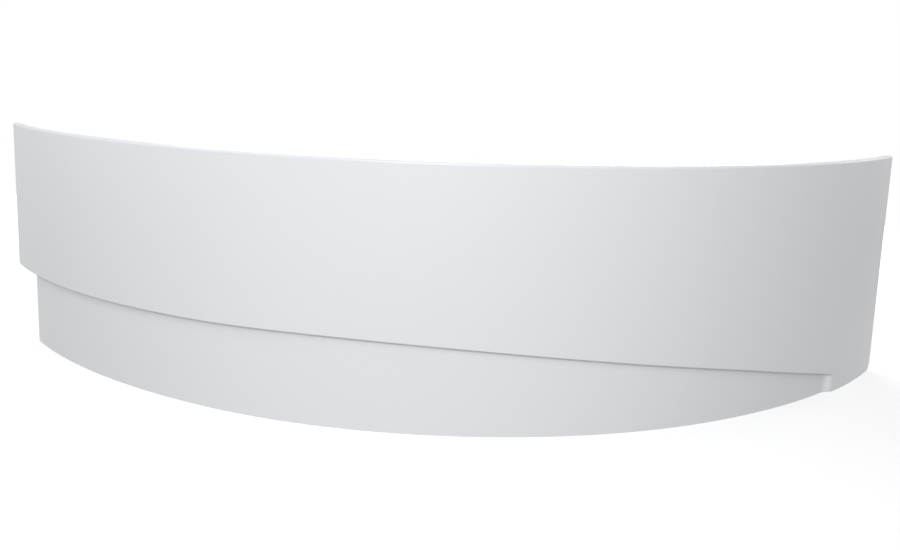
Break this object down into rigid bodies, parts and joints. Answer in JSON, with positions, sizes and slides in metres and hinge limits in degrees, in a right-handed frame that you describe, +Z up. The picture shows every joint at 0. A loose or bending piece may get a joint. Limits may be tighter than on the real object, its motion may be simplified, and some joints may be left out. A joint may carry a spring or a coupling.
{
  "type": "bath panel",
  "caption": "Curved white moulded panel that closes the front of a corner bath, with a flange along its top edge and a stepped toe recess.",
  "frame": {"origin": "centre of the bounding box, on the floor the panel stands on", "axes": "+X from the left end to the right end as seen from the front, -Y towards the bulging front, +Z up"},
  "size_m": [1.948, 0.606, 0.478],
  "materials": {
    "acrylic": "gloss white acrylic sheet"
  },
  "bodies": {
    "root": {"bath_panel": "acrylic"}
  },
  "joints": []
}
